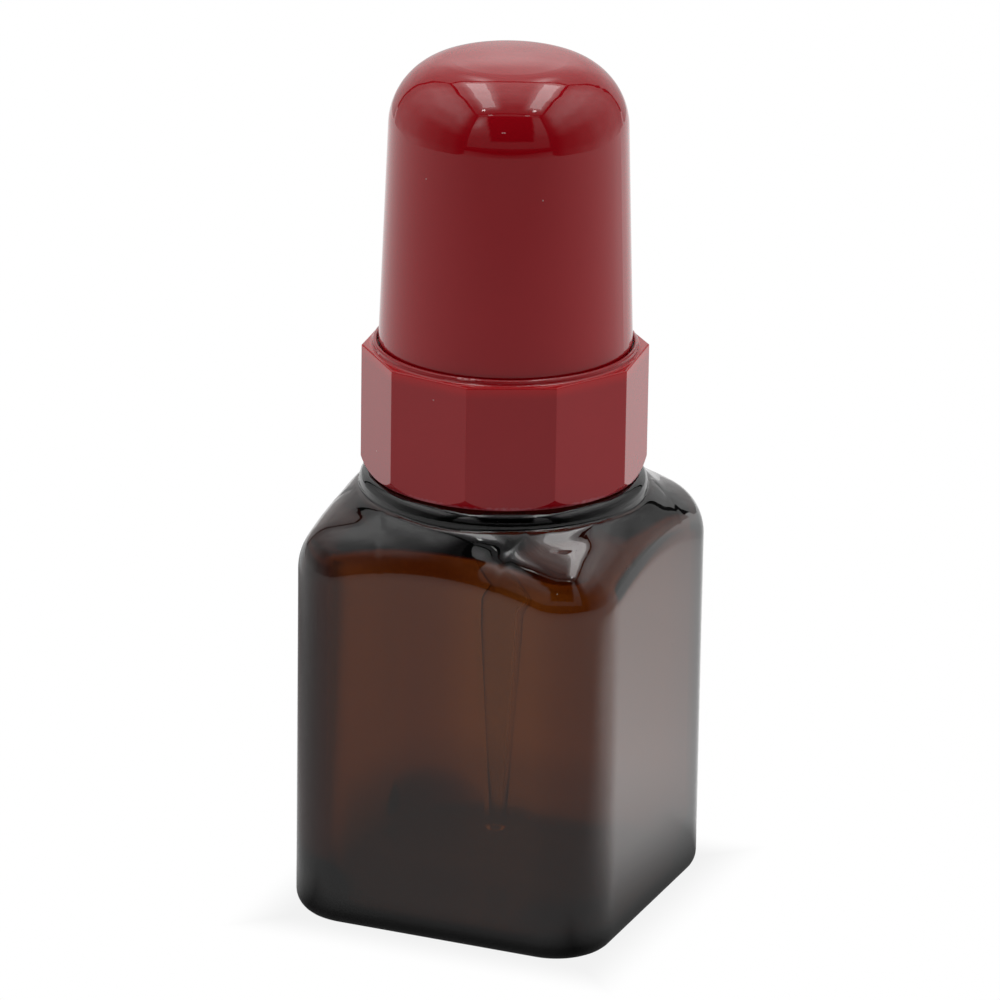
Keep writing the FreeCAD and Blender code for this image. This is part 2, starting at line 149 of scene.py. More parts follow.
PLASTIC_DUST = {"scale": 420.0, "radius": 0.045, "rarity": 0.90, "strength": 0.35}
RUBBER_DUST = {"scale": 420.0, "radius": 0.05, "rarity": 0.93, "strength": 0.3}

# The collar's marks: a painted glow along its top edge, standing in for light bleeding through the plastic,
# and the mould's parting line, a pale rim at its foot.
PAINTED_GLOW_START = 0.0702
PAINTED_GLOW_FULL = 0.0719
PAINTED_GLOW_END = PAINTED_GLOW_FULL + 0.0002
PAINTED_GLOW_COLOUR = (0.56, 0.0030, 0.0080, 1)
FLASH_FOOT = 0.0560
FLASH_END = FLASH_FOOT + 0.0003
FLASH_COLOUR = (0.42, 0.06, 0.08, 1)
FLASH_ROUGHNESS = 0.25
FLASH_RAGGED_SCALE = 2200.0
FLASH_RAGGEDNESS = 0.0006

# The floor, in metres. Its light, which the camera doesn't see directly, is made of steps: the side
# steps run to the camera's right, the near, shade and contact steps outwards from the bottle and the
# others away from the camera, slanted where a slant is given.
FLOOR_HALF_SIZE = 3.0
FLOOR_DROP = 0.00002
FAR_STEP = (-0.38, 0.33, 0.40, 1.02)
NEAR_LEVEL = 0.60
RIGHT_SLANT = 0.3
RIGHT_STEP = (-0.045, 0.02, 0.0, 0.95)
RIGHT_SIDE_STEP = (0.015, 0.06, 0.0, 1.0)
RIGHT_BACK_SLANT = -0.5
RIGHT_BACK_STEP = (-0.03, 0.03, 1.0, 0.55)
LEFT_SLANT = 0.6
LEFT_STEP = (-0.05, 0.04, 0.0, 0.34)
LEFT_SIDE_STEP = (-0.045, -0.02, 1.0, 0.0)
MIDDLE_STEP = (0.0, 0.05, 0.0, 0.38)
MIDDLE_SIDE_STEP = (0.02, 0.06, 1.0, 0.0)
NEAR_STEP = (0.10, 0.16, 1.0, 0.0)
FRONT_STEP = (-0.80, -0.40, 0.3, 1.0)
SHEET_END_STEP = (-0.84, -0.78, 0.0, 1.0)
SHADE_STEP = (-0.003, 0.012, 0.10, 1.0)
CONTACT_STEP = (-0.002, 0.006, 0.88, 1.0)

# The light tent, in metres, with x to the camera's right, y away from the camera and z up.
TENT_HALF_WIDTH = 0.36
TENT_FRONT = -0.43
TENT_BACK = 0.42
TENT_TOP = 0.725
TENT_SEAM = 0.018
TENT_CELL = 0.02
FLAP_LENGTH = 0.055
ROOF_START = TENT_FRONT + 0.08
FRONT_WALL_FOOT = 0.125
STRIPS = ((-0.230, -0.116), (0.177, 0.290))
STRIP_LUMINANCE = 2.6
STRIP_START = -0.225
STRIP_END = 0.34
STRIP_GAP = 0.006
STRIP_TIP_PLACE = (0.235, -0.27)
STRIP_TIP_SIZE = 0.030
STRIP_TIP_LUMINANCE = 12.0
FLAP_SPOT_PLACE = (0.19, -0.39)
FLAP_SPOT_SIZE = (0.05, 0.03)
FLAP_SPOT_LUMINANCE = 3.0
LENS_GLINT_PLACE = (-0.04, 0.318)
LENS_GLINT_SIZE = (0.030, 0.010)
LENS_GLINT_LUMINANCE = 4.0
LENS_GLINT_AIM = (0, 0, 0.1)
CREASE_SCALE = 16.0
CREASE_STEP = (0.3, 0.7, 0.9, 1.1)
TOP_DIFFUSE_SHARE = 0.78
ROOM_COLOUR = (0.03, 0.03, 0.03, 1)

# How brightly the walls glow, as (place, value) stops. The roof's, LOW_SIDE and HIGH_SIDE stops run
# along y, BACK_SIDE along x and the others along z. The opening's left and right stops give where its
# sides lie, and its edge stops how the cloth's glow begins outside it.
ROOF_STOPS = ((-0.42, 0.28), (-0.25, 0.40), (-0.08, 0.85), (0.05, 1.20), (0.40, 1.25))
STRIP_HALO = 1.5
STRIP_HALO_WIDTH = 0.035
STRIP_HALO_LENGTH = 0.045
FLAP_GLOW = 0.38
BACK_STOPS = ((0.02, 0.66), (0.20, 0.78), (0.42, 0.68), (0.70, 0.85))
BACK_SIDE_STOPS = ((0.10, 1.0), (0.35, 0.80))
BACK_PATCH = 0.42
BACK_PATCH_WIDTH = 0.10
BACK_PATCH_HEIGHT = 0.29
BACK_PATCH_RISE = 0.07
BACK_COLUMNS = (-0.11, 0.13)
BACK_COLUMN_GLOW = 2.0
BACK_COLUMN_WIDTH = 0.035
BACK_COLUMN_STOPS = ((0.48, 0.0), (0.66, 1.0))
LOW_SIDE_STOPS = ((-0.36, 0.02), (-0.21, 0.14), (-0.06, 0.32), (0.06, 0.58), (0.21, 0.58), (0.36, 0.38))
HIGH_SIDE_STOPS = ((-0.38, 0.10), (-0.21, 1.25), (-0.06, 1.50), (0.08, 1.60), (0.21, 1.40), (0.37, 0.70))
SIDE_FOOT_STOPS = ((0.03, 1.35), (0.09, 1.0))
SIDE_RISE_STOPS = ((0.20, 0.0), (0.33, 0.42), (0.46, 1.0), (0.55, 1.0), (0.70, 0.62))
FRONT_STOPS = ((0.13, 0.21), (0.25, 0.25), (0.36, 0.45), (0.60, 0.62))
OPENING_FOOT = 0.196
OPENING_LEFT_STOPS = ((OPENING_FOOT, -0.13), (0.69, -0.22))
OPENING_RIGHT_STOPS = ((OPENING_FOOT, 0.19), (0.69, 0.24))
OPENING_EDGE_STOPS = ((0.0, 0.02), (0.012, 1.0))
FRONT_PATCH = 1.3
FRONT_PATCH_PLACE = (-0.29, 0.52)
FRONT_PATCH_SIZE = (0.06, 0.10)

# Blender's Mix node keeps its colour sockets at these places.
MIX_COLOUR_INPUTS = (6, 7)
MIX_COLOUR_RESULT = 2


def ramp(value, *stops):
    """Smoothly joined values: each stop is (place, value), in order of place."""
    if value <= stops[0][0]:
        return stops[0][1]
    for (start, low), (end, high) in zip(stops, stops[1:]):
        if value < end:
            share = (value - start) / (end - start)
            return low + (high - low) * share * share * (3 - 2 * share)
    return stops[-1][1]


class Nodes:
    """Adds shader nodes and links them by socket name."""

    def __init__(self, tree):
        self.tree = tree
        self.tree.nodes.clear()

    def add(self, kind, inputs=None, **settings):
        node = self.tree.nodes.new("ShaderNode" + kind)
        for name, value in settings.items():
            setattr(node, name, value)
        for name, value in (inputs or {}).items():
            self.put(node, name, value)
        return node

    def put(self, node, name, value):
        socket = node.inputs[name]
        if isinstance(value, bpy.types.NodeSocket):
            self.tree.links.new(value, socket)
        else:
            socket.default_value = value

    def math(self, operation, first, second=0.0):
        return self.add("Math", {0: first, 1: second}, operation=operation).outputs[0]

    def times(self, first, second):
        return self.math("MULTIPLY", first, second)

    def plus(self, first, second):
        return self.math("ADD", first, second)

    def minus(self, first, second):
        return self.math("SUBTRACT", first, second)

    def rescale(self, value, low, high, new_low, new_high, kind="LINEAR"):
        node = self.add(
            "MapRange",
            {"Value": value, "From Min": low, "From Max": high, "To Min": new_low, "To Max": new_high},
            interpolation_type=kind,
        )
        return node.outputs["Result"]

    def soft_step(self, value, step):
        return self.rescale(value, *step, "SMOOTHSTEP")

    def mix_colour(self, share, first, second):
        node = self.add("Mix", {"Factor": share}, data_type="RGBA")
        self.put(node, MIX_COLOUR_INPUTS[0], first)
        self.put(node, MIX_COLOUR_INPUTS[1], second)
        return node.outputs[MIX_COLOUR_RESULT]

    def mix_shader(self, share, first, second):
        return self.add("MixShader", {0: share, 1: first, 2: second}).outputs[0]

    def place(self):
        """The point being shaded, in the object's own coordinates."""
        return self.add("TexCoord").outputs["Object"]

    def height(self):
        return self.add("SeparateXYZ", {"Vector": self.place()}).outputs["Z"]

    def noise(self, scale, detail=2.0, roughness=0.5):
        node = self.add(
            "TexNoise",
            {"Vector": self.place(), "Scale": scale, "Detail": detail, "Roughness": roughness},
        )
        return node.outputs["Fac"]

    def specks(self, scale, radius, rarity):
        """1 on a few small round spots and 0 elsewhere."""
        cells = self.add("TexVoronoi", {"Vector": self.place(), "Scale": scale})
        near = self.math("LESS_THAN", cells.outputs["Distance"], radius)
        pick = self.add("SeparateColor", {"Color": cells.outputs["Color"]}).outputs["Red"]
        return self.times(near, self.math("GREATER_THAN", pick, rarity))

    def finish(self, surface, volume=None):
        out = self.add("OutputMaterial", {"Surface": surface})
        if volume is not None:
            self.put(out, "Volume", volume)


def new_material(name):
    material = bpy.data.materials.new(name)
    material.use_nodes = True
    return material, Nodes(material.node_tree)


def paint(thing, material):
    thing.data.materials.clear()
    thing.data.materials.append(material)


def add_object(name, data):
    thing = bpy.data.objects.new(name, data)
    bpy.context.scene.collection.objects.link(thing)
    return thing


def with_dust(nodes, surface, scale, radius, rarity, strength):
    """The surface with a few pale dust specks lying on it."""
    dust = nodes.add("BsdfDiffuse", {"Color": DUST_COLOUR})
    amount = nodes.times(nodes.specks(scale, radius, rarity), strength)
    return nodes.mix_shader(amount, surface, dust.outputs[0])


def amber_glass():
    material, nodes = new_material("amber_glass")
    colour = nodes.mix_colour(nodes.noise(GLASS_STREAK_SCALE, detail=3.0), *GLASS_STREAK_COLOURS)
    # The glass is thicker, and so darker, round the shoulder and the base.
    height = nodes.height()
    rise = nodes.soft_step(height, THICK_SHOULDER_RISE)
    shoulder = nodes.times(rise, nodes.soft_step(height, THICK_SHOULDER_FADE))
    colour = nodes.mix_colour(shoulder, colour, THICK_SHOULDER_COLOUR)
    colour = nodes.mix_colour(nodes.soft_step(height, THICK_BASE_FADE), colour, THICK_BASE_COLOUR)
    glass = nodes.add(
        "BsdfPrincipled",
        {"Base Color": colour, "Roughness": 0.0, "IOR": GLASS_IOR, "Transmission Weight": 1.0},
    )
    surface = with_dust(nodes, glass.outputs[0], **GLASS_DUST)
    tint = nodes.add("VolumeAbsorption", {"Color": GLASS_TINT, "Density": GLASS_TINT_DENSITY})
    nodes.finish(surface, tint.outputs[0])
    return material


def collar_painted_glow_and_flash(nodes, colour, roughness):
    """The colour and roughness with a painted glow along the collar's top edge and the pale rim at its
    foot.
    """
    height = nodes.height()
    # Painted glow: a brighter red along the top edge stands in for light bleeding through the plastic.
    painted_glow = nodes.soft_step(height, (PAINTED_GLOW_START, PAINTED_GLOW_FULL, 0.0, 1.0))
    painted_glow = nodes.times(painted_glow, nodes.rescale(height, PAINTED_GLOW_FULL, PAINTED_GLOW_END, 1.0, 0.0))
    colour = nodes.mix_colour(painted_glow, colour, PAINTED_GLOW_COLOUR)
    # The mould's parting line leaves a rough pale edge round the foot.
    ragged = nodes.times(nodes.noise(FLASH_RAGGED_SCALE), FLASH_RAGGEDNESS)
    edge = nodes.rescale(nodes.minus(height, ragged), FLASH_FOOT, FLASH_END, 1.0, 0.0)
    colour = nodes.mix_colour(edge, colour, FLASH_COLOUR)
    return colour, nodes.plus(roughness, nodes.times(edge, FLASH_ROUGHNESS))


def red_plastic(name, collar=False):
    material, nodes = new_material(name)
    cloud = nodes.noise(RED_CLOUD_SCALE, detail=3.0, roughness=0.6)
    colour = nodes.mix_colour(cloud, *RED_CLOUD_COLOURS)
    roughness = nodes.rescale(nodes.noise(RED_POLISH_SCALE), *RED_ROUGHNESS)
    ripple = nodes.add("Bump", {"Height": nodes.noise(RED_RIPPLE_SCALE, detail=1.0), **RED_RIPPLE})
    if collar:
        colour, roughness = collar_painted_glow_and_flash(nodes, colour, roughness)
    plastic = nodes.add(
        "BsdfPrincipled",
        {"Base Color": colour, "Roughness": roughness, "IOR": RED_IOR, "Normal": ripple.outputs[0]},
    )
    nodes.finish(with_dust(nodes, plastic.outputs[0], **PLASTIC_DUST))
    return material


def black_rubber():
    material, nodes = new_material("black_rubber")
    grain = nodes.noise(RUBBER_GRAIN_SCALE, detail=3.0)
    bump = nodes.add("Bump", {"Height": grain, **RUBBER_BUMP})
    rubber = nodes.add(
        "BsdfPrincipled",
        {
            "Base Color": nodes.mix_colour(grain, *RUBBER_COLOURS),
            "Roughness": nodes.rescale(grain, *RUBBER_ROUGHNESS),
            "Normal": bump.outputs[0],
        },
    )
    nodes.finish(with_dust(nodes, rubber.outputs[0], **RUBBER_DUST))
    return material


def clear_glass():
    material, nodes = new_material("clear_glass")
    draw = nodes.noise(PIPETTE_DRAW_SCALE)
    glass = nodes.add(
        "BsdfPrincipled",
        {
            "Base Color": nodes.mix_colour(draw, *PIPETTE_COLOURS),
            "Roughness": nodes.rescale(draw, *PIPETTE_ROUGHNESS),
            "IOR": PIPETTE_IOR,
            "Transmission Weight": 1.0,
        },
    )
    nodes.finish(glass.outputs[0])
    return material


class Outline:
    """A rounded square core with the same number of columns on every flat and corner.

    The surface around it is the core grown by the shoulder radius and capped by a ball.
    """

    def __init__(self, half, corner, shoulder, ball):
        self.shoulder = shoulder
        self.ball = ball
        core_corner = corner - shoulder
        straight = half - corner
        self.columns = []
        for side in range(4):
            c, s = ((1, 0), (0, 1), (-1, 0), (0, -1))[side]
            local = []
            for step in range(CORNER_COLUMNS):
                angle = math.radians(90 * step / CORNER_COLUMNS)
                out = (math.cos(angle), math.sin(angle))
                local.append(((straight + core_corner * out[0], straight + core_corner * out[1]), out))
            for step in range(FLAT_COLUMNS):
                local.append(((straight - 2 * straight * step / FLAT_COLUMNS, half - shoulder), (0.0, 1.0)))
            for (x, y), (u, v) in local:
                core = Vector((x * c - y * s, x * s + y * c, 0))
                out = Vector((u * c - v * s, u * s + v * c, 0))
                self.columns.append((core, out))

    def ring(self, inset, height):
        """The outline drawn in by an inset, at one height."""
        reach = self.shoulder - inset
        return [
            Vector((core.x + reach * out.x, core.y + reach * out.y, height)) for core, out in self.columns
        ]

    def shoulder_point(self, column, share):
        """A point on the rounded shoulder: share 0 is the top of the wall and share 1 is on the ball."""
        core, out = self.columns[column]
        core_ball = self.ball - self.shoulder
        edge = Vector((core.x, core.y, BALL_CENTRE + math.sqrt(core_ball ** 2 - core.length_squared)))
        up = (edge - Vector((0, 0, BALL_CENTRE))) / core_ball
        return edge + self.shoulder * out.slerp(up, share)


def arc(centre, radius, start, end, count, skip_first=False):
    """(radius, height) points of a round profile arc; angles are measured from the outward direction."""
    points = []
    for step in range(1 if skip_first else 0, count + 1):
        angle = math.radians(start + (end - start) * step / count)
        points.append((centre[0] + radius * math.cos(angle), centre[1] + radius * math.sin(angle)))
    return points


def dome_point(azimuth, reach, ball):
    height = BALL_CENTRE + math.sqrt(ball * ball - reach * reach)
    return Vector((reach * math.cos(azimuth), reach * math.sin(azimuth), height))


def planar_reach(point):
    return math.hypot(point.x, point.y)


def outer_shoulder_share(outside, column, reach_limit):
    """How far over the shoulder a column gets before it comes within the reach limit."""
    if planar_reach(outside.shoulder_point(column, 1.0)) >= reach_limit:
        return 1.0
    low, high = 0.0, 1.0
    for _ in range(SEARCH_HALVINGS):
        share = (low + high) / 2
        if planar_reach(outside.shoulder_point(column, share)) > reach_limit:
            low = share
        else:
            high = share
    return share


def outer_shoulder_path(outside, column, reach_limit):
    """Points from the wall over the shoulder and the dome to where the bead begins."""
    share = outer_shoulder_share(outside, column, reach_limit)
    points = []
    for step in range(1, SHOULDER_RINGS + 1):
        points.append(outside.shoulder_point(column, share * step / SHOULDER_RINGS))
    last = points[-1]
    azimuth = math.atan2(last.y, last.x)
    start = planar_reach(last)
    if start > reach_limit + SHORTEST_DOME:
        for step in range(1, DOME_RINGS + 1):
            reach = start + (reach_limit - start) * step / DOME_RINGS
            points.append(dome_point(azimuth, reach, outside.ball))
    else:
        # No room for the dome here: spread all the points along the shoulder.
        total = SHOULDER_RINGS + DOME_RINGS
        points = [outside.shoulder_point(column, share * step / total) for step in range(1, total + 1)]
    # The dome banks up slightly against the bead.
    for point in points:
        point.z += ramp(planar_reach(point), (reach_limit, BEAD_BANK_RISE), (BEAD_BANK_REACH, 0.0))
    return points


def thread_height(azimuth, height):
    """How far the screw thread stands out of the neck."""
    tallest = 0.0
    # The azimuth tells only the place within one turn, so each turn of the thread is tried.
    for turn in range(-1, 3):
        turns = azimuth / (2 * math.pi) + turn
        middle = THREAD_START_HEIGHT + THREAD_PITCH * turns
        across = (THREAD_HALF_ROOT - abs(height - middle)) / (THREAD_HALF_ROOT - THREAD_HALF_CREST)
        along = min(turns, THREAD_TURNS - turns) / THREAD_FADE_TURNS
        if across > 0 and along > 0:
            tallest = max(tallest, THREAD_DEPTH * min(1.0, across) * min(1.0, along))
    return tallest


def round_point(azimuth, reach, height):
    return Vector((reach * math.cos(azimuth), reach * math.sin(azimuth), height))


def round_ring(azimuths, reach, height):
    return [round_point(azimuth, reach, height) for azimuth in azimuths]


def rings_between(first, last, count):
    """Evenly spaced rings, from the one after the first up to the last."""
    rings = []
    for step in range(1, count + 1):
        rings.append([start.lerp(end, step / count) for start, end in zip(first, last)])
    return rings


def underside_rings(outside):
    """The hollow dish, the flat band round it and the rounded base edge."""
    azimuths = [math.atan2(core.y, core.x) for core, out in outside.columns]
    dish_ball = (DISH_RADIUS ** 2 / DISH_DEPTH + DISH_DEPTH) / 2
    rings = []
    for step in range(1, DISH_RINGS + 1):
        reach = DISH_RADIUS * step / DISH_RINGS
        height = DISH_DEPTH - dish_ball + math.sqrt(dish_ball ** 2 - reach ** 2)
        rings.append(round_ring(azimuths, reach, height))
    rings += rings_between(rings[-1], outside.ring(BASE_FILLET, 0), BAND_RINGS)[:-1]
    for reach, height in arc((-BASE_FILLET, BASE_FILLET), BASE_FILLET, -90, 0, BASE_EDGE_RINGS):
        rings.append(outside.ring(-reach, height))
    return rings


def bead_rings(bead_foot, azimuths):
    """The bead: a small fillet off the dome, the round itself and the fillet at the neck's foot."""
    fillet_centre = (BEAD_RADIUS + BEAD_FOOT_FILLET, BEAD_FOOT_FILLET)
    rings = []
    for reach, rise in arc(fillet_centre, BEAD_FOOT_FILLET, -90, -180, BEAD_FOOT_RINGS, True):
        rings.append([round_point(a, reach, point.z + rise) for a, point in zip(azimuths, bead_foot)])
    bead_round = BEAD_RADIUS - BEAD_TOP_RADIUS
    bead_rise = BEAD_TOP_HEIGHT - BEAD_WIDEST_HEIGHT
    for x, z in arc((0, 0), 1, 0, 90, BEAD_RINGS):
        height = BEAD_WIDEST_HEIGHT + bead_rise * z
        rings.append(round_ring(azimuths, BEAD_TOP_RADIUS + bead_round * x, height))
    root_centre = (NECK_RADIUS + NECK_ROOT_FILLET, NECK_FOOT)
    for reach, height in arc(root_centre, NECK_ROOT_FILLET, 270, 180, NECK_ROOT_RINGS):
        rings.append(round_ring(azimuths, reach, height))
    return rings


def neck_rings(azimuths):
    """The neck, with its screw thread."""
    rings = []
    for step in range(1, NECK_RINGS + 1):
        height = NECK_FOOT + (NECK_TOP - NECK_FOOT) * step / NECK_RINGS
        rings.append([round_point(a, NECK_RADIUS + thread_height(a, height), height) for a in azimuths])
    return rings


def mouth_profile():
    """(radius, height) points over the mouth, down the bore and round its flare to the inner dome."""
    profile = arc((NECK_RADIUS - MOUTH_FILLET, NECK_TOP), MOUTH_FILLET, 0, 90, MOUTH_RINGS, True)
    profile += arc((BORE_RADIUS + MOUTH_FILLET, NECK_TOP), MOUTH_FILLET, 90, 180, MOUTH_RINGS)
    flare_reach = BORE_RADIUS + BORE_FLARE
    flare_rise = math.sqrt((INNER_BALL + BORE_FLARE) ** 2 - flare_reach ** 2)
    flare_end = 180 + math.degrees(math.atan2(flare_rise, flare_reach))
    for step in range(1, BORE_RINGS):
        height = NECK_TOP + (BALL_CENTRE + flare_rise - NECK_TOP) * step / BORE_RINGS
        profile.append((BORE_RADIUS, height))
    return profile + arc((flare_reach, BALL_CENTRE + flare_rise), BORE_FLARE, 180, flare_end, FLARE_RINGS)


def inner_dome_rings(inside, azimuths, start):
    """The inner dome, from its start at the bore's flare out to the inner shoulder, and the shoulder."""
    columns = range(len(inside.columns))
    tops = [inside.shoulder_point(column, 1.0) for column in columns]
    rings = []
    for step in range(1, INNER_DOME_RINGS + 1):
        share = step / INNER_DOME_RINGS
        ring = []
        for azimuth, top in zip(azimuths, tops):
            swing = (math.atan2(top.y, top.x) - azimuth + math.pi) % (2 * math.pi) - math.pi
            reach = start + (planar_reach(top) - start) * share
            ring.append(dome_point(azimuth + swing * share, reach, INNER_BALL))
        rings.append(ring)
    for step in range(1, INNER_SHOULDER_RINGS + 1):
        rings.append([inside.shoulder_point(column, 1 - step / INNER_SHOULDER_RINGS) for column in columns])
    return rings


def inner_wall_rings(inside, low_inside, inner_top):
    """The inner wall, whose corners grow rounder just above the floor."""
    foot = FLOOR_HEIGHT + FLOOR_FILLET
    rings = []
    for step in range(1, WALL_RINGS + 1):
        share = step / WALL_RINGS
        ring = []
        for square, low, top in zip(inside.ring(0, 0), low_inside.ring(0, 0), inner_top):
            height = top.z + (foot - top.z) * share
            point = square.lerp(low, ramp(height, (foot, 1.0), (foot + FLOOR_CURVE_HEIGHT, 0.0)))
            ring.append(Vector((point.x, point.y, height)))
        rings.append(ring)
    return rings


def floor_rings(low_inside):
    """The floor's rounded edge and the floor inside, which rises towards its middle."""
    edge_centre = (FLOOR_FILLET, FLOOR_HEIGHT + FLOOR_FILLET)
    rings = []
    for inset, height in arc(edge_centre, FLOOR_FILLET, 180, 270, FLOOR_EDGE_RINGS, True):
        rings.append(low_inside.ring(inset, height))
    floor_edge = rings[-1]
    middle = Vector((0, 0, FLOOR_HEIGHT))
    for step in range(1, FLOOR_RINGS):
        share = step / FLOOR_RINGS
        lift = Vector((0, 0, FLOOR_RISE * ramp(share, (0.0, 0.0), (1.0, 1.0))))
        rings.append([point.lerp(middle, share) + lift for point in floor_edge])
    return rings


def blown_glass():
    """The bottle as rings of one closed surface: up the outside, over the mouth and down the inside."""
    outside = Outline(OUTER_HALF, OUTER_CORNER, OUTER_SHOULDER, OUTER_BALL)
    inside = Outline(INNER_HALF, INNER_CORNER, INNER_SHOULDER, INNER_BALL)
    low_inside = Outline(INNER_HALF, INNER_FLOOR_CORNER, INNER_SHOULDER, INNER_BALL)
    columns = range(len(outside.columns))
    rings = underside_rings(outside)
    wall_top = [outside.shoulder_point(column, 0.0) for column in columns]
    rings += rings_between(rings[-1], wall_top, WALL_RINGS)
    bead_reach = BEAD_RADIUS + BEAD_FOOT_FILLET
    paths = [outer_shoulder_path(outside, column, bead_reach) for column in columns]
    rings += [list(ring) for ring in zip(*paths)]
    bead_foot = rings[-1]
    azimuths = [math.atan2(point.y, point.x) for point in bead_foot]
    rings += bead_rings(bead_foot, azimuths)
    rings += neck_rings(azimuths)
    profile = mouth_profile()
    rings += [round_ring(azimuths, reach, height) for reach, height in profile]
    rings += inner_dome_rings(inside, azimuths, profile[-1][0])
    rings += inner_wall_rings(inside, low_inside, rings[-1])
    rings += floor_rings(low_inside)
    return rings


def make_bottle():
    rings = blown_glass()
    count = len(rings[0])
    vertices = [Vector((0, 0, DISH_DEPTH))]
    for ring in rings:
        vertices.extend(ring)
    vertices.append(Vector((0, 0, FLOOR_HEIGHT + FLOOR_RISE)))
    faces = []
    for row in range(len(rings) - 1):
        start = 1 + row * count
        for column in range(count):
            after = (column + 1) % count
            faces.append((start + column, start + after, start + count + after, start + count + column))
    last = 1 + (len(rings) - 1) * count
    for column in range(count):
        after = (column + 1) % count
        faces.append((0, 1 + after, 1 + column))
        faces.append((last + column, last + after, len(vertices) - 1))
    mesh = bpy.data.meshes.new("blown_bottle")
    mesh.from_pydata([vertex * MM for vertex in vertices], [], faces)
    mesh.shade_smooth()
    bottle = add_object("blown_bottle", mesh)
    paint(bottle, amber_glass())
    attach(bottle, "glass_bottle")
    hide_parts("bottle")


def make_camera():
    data = bpy.data.cameras.new("camera")
    camera = add_object("camera", data)
    back = Vector((
        math.sin(CAMERA_AZIMUTH) * math.cos(CAMERA_ELEVATION),
        -math.cos(CAMERA_AZIMUTH) * math.cos(CAMERA_ELEVATION),
        math.sin(CAMERA_ELEVATION),
    ))
    camera.location = Vector((0, 0, CAMERA_AIM_HEIGHT)) + back * CAMERA_DISTANCE
    level = (-back).to_track_quat("-Z", "Y").to_matrix()
    roll = Euler((0, 0, CAMERA_ROLL), "XYZ").to_matrix()
    camera.rotation_euler = (level @ roll).to_euler()
    data.lens = CAMERA_LENS
    data.shift_x, data.shift_y = CAMERA_SHIFT
    data.clip_start, data.clip_end = CAMERA_CLIP
    bpy.context.scene.camera = camera


def turned(x, y, z):
    """A place given as right, away and up from the camera's side, turned into the row frame."""
    c, s = math.cos(CAMERA_AZIMUTH), math.sin(CAMERA_AZIMUTH)
    return Vector((x * c - y * s, x * s + y * c, z))


def near_light(nodes, away, aside):
    """The sheet's light near the bottle: bright on the right and behind, but dark behind on the left."""

    def slanted(slant):
        return nodes.plus(away, nodes.times(aside, slant))

    right = nodes.soft_step(slanted(RIGHT_SLANT), RIGHT_STEP)
    right = nodes.times(right, nodes.soft_step(aside, RIGHT_SIDE_STEP))
    right = nodes.times(right, nodes.soft_step(slanted(RIGHT_BACK_SLANT), RIGHT_BACK_STEP))
    left = nodes.soft_step(slanted(LEFT_SLANT), LEFT_STEP)
    left = nodes.times(left, nodes.soft_step(aside, LEFT_SIDE_STEP))
    middle = nodes.soft_step(away, MIDDLE_STEP)
    middle = nodes.times(middle, nodes.soft_step(nodes.math("ABSOLUTE", aside), MIDDLE_SIDE_STEP))
    return nodes.minus(nodes.plus(nodes.plus(right, middle), NEAR_LEVEL), left)


def floor_sheet():
    """White to the camera, with a faint contact shadow, and an unevenly lit sheet to all other rays."""
    material, nodes = new_material("floor")
    material.cycles.emission_sampling = "NONE"
    place = nodes.add("SeparateXYZ", {"Vector": nodes.place()})
    x, y = place.outputs["X"], place.outputs["Y"]
    c, s = math.cos(CAMERA_AZIMUTH), math.sin(CAMERA_AZIMUTH)
    away = nodes.plus(nodes.times(x, -s), nodes.times(y, c))
    aside = nodes.plus(nodes.times(x, c), nodes.times(y, s))
    reach = nodes.math("MAXIMUM", nodes.math("ABSOLUTE", x), nodes.math("ABSOLUTE", y))
    gap = nodes.minus(reach, OUTER_HALF * MM)
    # Far from the bottle the sheet brightens steadily towards the back.
    far = nodes.rescale(away, *FAR_STEP)
    near = near_light(nodes, away, aside)
    glow = nodes.plus(far, nodes.times(nodes.soft_step(reach, NEAR_STEP), nodes.minus(near, far)))
    glow = nodes.times(glow, nodes.soft_step(away, FRONT_STEP))
    glow = nodes.times(glow, nodes.rescale(away, *SHEET_END_STEP))
    glow = nodes.times(glow, nodes.soft_step(gap, SHADE_STEP))
    sheet = nodes.add("Emission", {"Strength": glow}).outputs[0]
    seen = nodes.add("Emission", {"Strength": nodes.soft_step(gap, CONTACT_STEP)}).outputs[0]
    camera_ray = nodes.add("LightPath").outputs["Is Camera Ray"]
    nodes.finish(nodes.mix_shader(camera_ray, sheet, seen))
    return material


def make_floor():
    """The pale sheet the bottle stands on."""
    size = FLOOR_HALF_SIZE
    mesh = bpy.data.meshes.new("floor")
    corners = [(-size, -size, 0), (size, -size, 0), (size, size, 0), (-size, size, 0)]
    mesh.from_pydata(corners, [], [(0, 1, 2, 3)])
    floor = add_object("floor", mesh)
    floor.location.z = -FLOOR_DROP
    paint(floor, floor_sheet())


def tent_cloth(name, diffuse_share):
    """Glowing cloth with soft creases; diffuse_share scales the light it casts on matt surfaces."""
    material, nodes = new_material(name)
    material.cycles.emission_sampling = "NONE"
    glow = nodes.add("Attribute", attribute_name="glow").outputs["Fac"]
    creases = nodes.rescale(nodes.noise(CREASE_SCALE, detail=3.0), *CREASE_STEP)
    diffuse_ray = nodes.add("LightPath").outputs["Is Diffuse Ray"]
    cast = nodes.rescale(diffuse_ray, 0.0, 1.0, 1.0, diffuse_share)
    strength = nodes.times(nodes.times(glow, creases), cast)
    nodes.finish(nodes.add("Emission", {"Strength": strength}).outputs[0])
    return material


